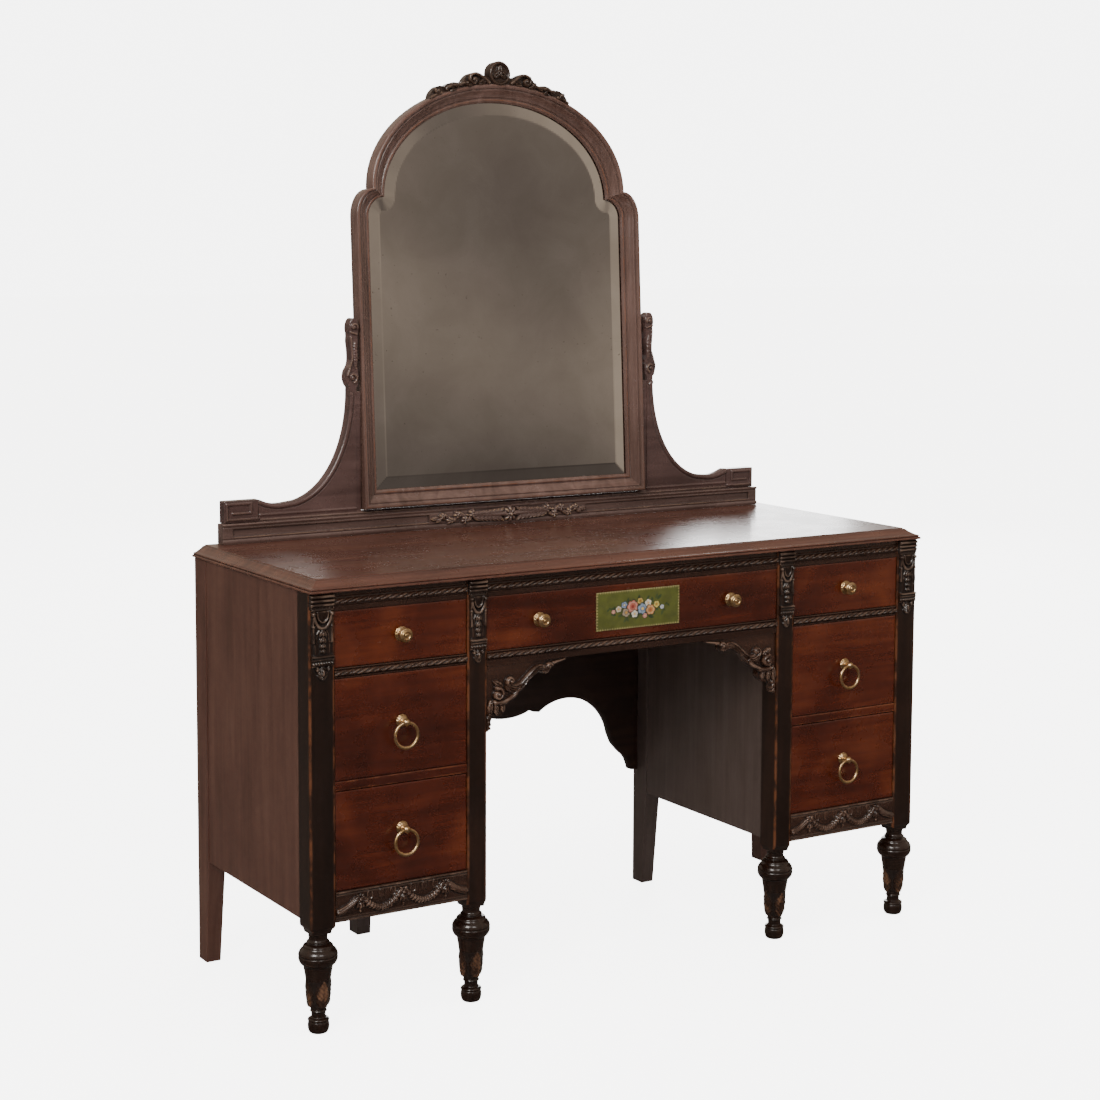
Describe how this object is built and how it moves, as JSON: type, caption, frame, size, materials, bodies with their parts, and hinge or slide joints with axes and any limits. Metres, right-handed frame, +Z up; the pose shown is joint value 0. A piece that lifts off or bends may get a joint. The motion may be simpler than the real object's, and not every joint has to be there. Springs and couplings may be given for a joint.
{
  "type": "vanity table",
  "caption": "Kneehole vanity table with drawer pedestals, turned legs, carved details and an arched mirror that tilts between two swept standards.",
  "frame": {"origin": "on the floor under the middle of the object's box", "axes": "+Z up, -Y out of the drawer fronts, +X to the right of a person facing them"},
  "size_m": [1.3096, 0.5365, 1.6515],
  "materials": {
    "top_walnut": "aged semi-gloss varnish over red-brown walnut",
    "case_walnut": "dark worn varnish",
    "front_walnut": "figured red-brown veneer, semi-gloss",
    "post_walnut": "near-black stain with rubbed edges",
    "carved_walnut": "dark stain with gold-brown rubbed high spots",
    "frame_walnut": "semi-gloss varnish with a grey bloom",
    "box_oak": "bare aged drawer lining",
    "picture_green": "olive painted panel with small flowers",
    "aged_brass": "tarnished brass",
    "mirror_glass": "silvered plate glass, slightly foxed"
  },
  "bodies": {
    "case": {"back_panel_left": "case_walnut", "back_panel_right": "case_walnut", "centre_rail": "post_walnut", "corner_bracket_left": "carved_walnut", "corner_bracket_right": "carved_walnut", "divider_rail_left": "front_walnut", "divider_rail_right": "front_walnut", "frieze_rail": "post_walnut", "front_post_left_inner": "post_walnut", "front_post_left_outer": "post_walnut", "front_post_right_inner": "post_walnut", "front_post_right_outer": "post_walnut", "kneehole_back_board": "case_walnut", "mirror_base_rail": "frame_walnut", "rear_leg_left_inner": "case_walnut", "rear_leg_left_outer": "case_walnut", "rear_leg_right_inner": "case_walnut", "rear_leg_right_outer": "case_walnut", "rope_rail_left": "post_walnut", "rope_rail_right": "post_walnut", "side_panel_left_inner": "case_walnut", "side_panel_left_outer": "case_walnut", "side_panel_right_inner": "case_walnut", "side_panel_right_outer": "case_walnut", "standard_left": "frame_walnut", "standard_right": "frame_walnut", "swag_rail_left": "carved_walnut", "swag_rail_right": "carved_walnut", "table_top": "top_walnut"},
    "drawer_centre": {"drawer_centre_front": "front_walnut", "drawer_centre_box": "box_oak", "painted_panel": "picture_green", "knob_centre_left": "aged_brass", "knob_centre_right": "aged_brass"},
    "drawer_left_top": {"drawer_left_top_front": "front_walnut", "drawer_left_top_box": "box_oak", "knob_left": "aged_brass"},
    "drawer_left_middle": {"drawer_left_middle_front": "front_walnut", "drawer_left_middle_box": "box_oak", "ring_eye_left_middle": "aged_brass"},
    "ring_left_middle": {"ring_left_middle": "aged_brass"},
    "drawer_left_bottom": {"drawer_left_bottom_front": "front_walnut", "drawer_left_bottom_box": "box_oak", "ring_eye_left_bottom": "aged_brass"},
    "ring_left_bottom": {"ring_left_bottom": "aged_brass"},
    "drawer_right_top": {"drawer_right_top_front": "front_walnut", "drawer_right_top_box": "box_oak", "knob_right": "aged_brass"},
    "drawer_right_middle": {"drawer_right_middle_front": "front_walnut", "drawer_right_middle_box": "box_oak", "ring_eye_right_middle": "aged_brass"},
    "ring_right_middle": {"ring_right_middle": "aged_brass"},
    "drawer_right_bottom": {"drawer_right_bottom_front": "front_walnut", "drawer_right_bottom_box": "box_oak", "ring_eye_right_bottom": "aged_brass"},
    "ring_right_bottom": {"ring_right_bottom": "aged_brass"},
    "mirror": {"mirror_frame": "frame_walnut", "mirror_glass": "mirror_glass", "mirror_backing": "case_walnut", "mirror_crest": "carved_walnut"}
  },
  "joints": [
    {"name": "drawer_centre_slide", "type": "slide", "parent": "case", "child": "drawer_centre", "axis": [0, -1, 0], "range_m": [0, 0.3]},
    {"name": "drawer_left_top_slide", "type": "slide", "parent": "case", "child": "drawer_left_top", "axis": [0, -1, 0], "range_m": [0, 0.3]},
    {"name": "drawer_left_middle_slide", "type": "slide", "parent": "case", "child": "drawer_left_middle", "axis": [0, -1, 0], "range_m": [0, 0.3]},
    {"name": "ring_left_middle_swing", "type": "hinge", "parent": "drawer_left_middle", "child": "ring_left_middle", "pos_m": [-0.474, -0.262, 0.513], "axis": [-1, 0, 0], "range_deg": [-10, 100]},
    {"name": "drawer_left_bottom_slide", "type": "slide", "parent": "case", "child": "drawer_left_bottom", "axis": [0, -1, 0], "range_m": [0, 0.3]},
    {"name": "ring_left_bottom_swing", "type": "hinge", "parent": "drawer_left_bottom", "child": "ring_left_bottom", "pos_m": [-0.474, -0.262, 0.331], "axis": [-1, 0, 0], "range_deg": [-10, 100]},
    {"name": "drawer_right_top_slide", "type": "slide", "parent": "case", "child": "drawer_right_top", "axis": [0, -1, 0], "range_m": [0, 0.3]},
    {"name": "drawer_right_middle_slide", "type": "slide", "parent": "case", "child": "drawer_right_middle", "axis": [0, -1, 0], "range_m": [0, 0.3]},
    {"name": "ring_right_middle_swing", "type": "hinge", "parent": "drawer_right_middle", "child": "ring_right_middle", "pos_m": [0.474, -0.262, 0.513], "axis": [-1, 0, 0], "range_deg": [-10, 100]},
    {"name": "drawer_right_bottom_slide", "type": "slide", "parent": "case", "child": "drawer_right_bottom", "axis": [0, -1, 0], "range_m": [0, 0.3]},
    {"name": "ring_right_bottom_swing", "type": "hinge", "parent": "drawer_right_bottom", "child": "ring_right_bottom", "pos_m": [0.474, -0.262, 0.331], "axis": [-1, 0, 0], "range_deg": [-10, 100]},
    {"name": "mirror_tilt", "type": "hinge", "parent": "case", "child": "mirror", "pos_m": [0, 0.222, 1.09], "axis": [1, 0, 0], "range_deg": [-20, 15]}
  ]
}
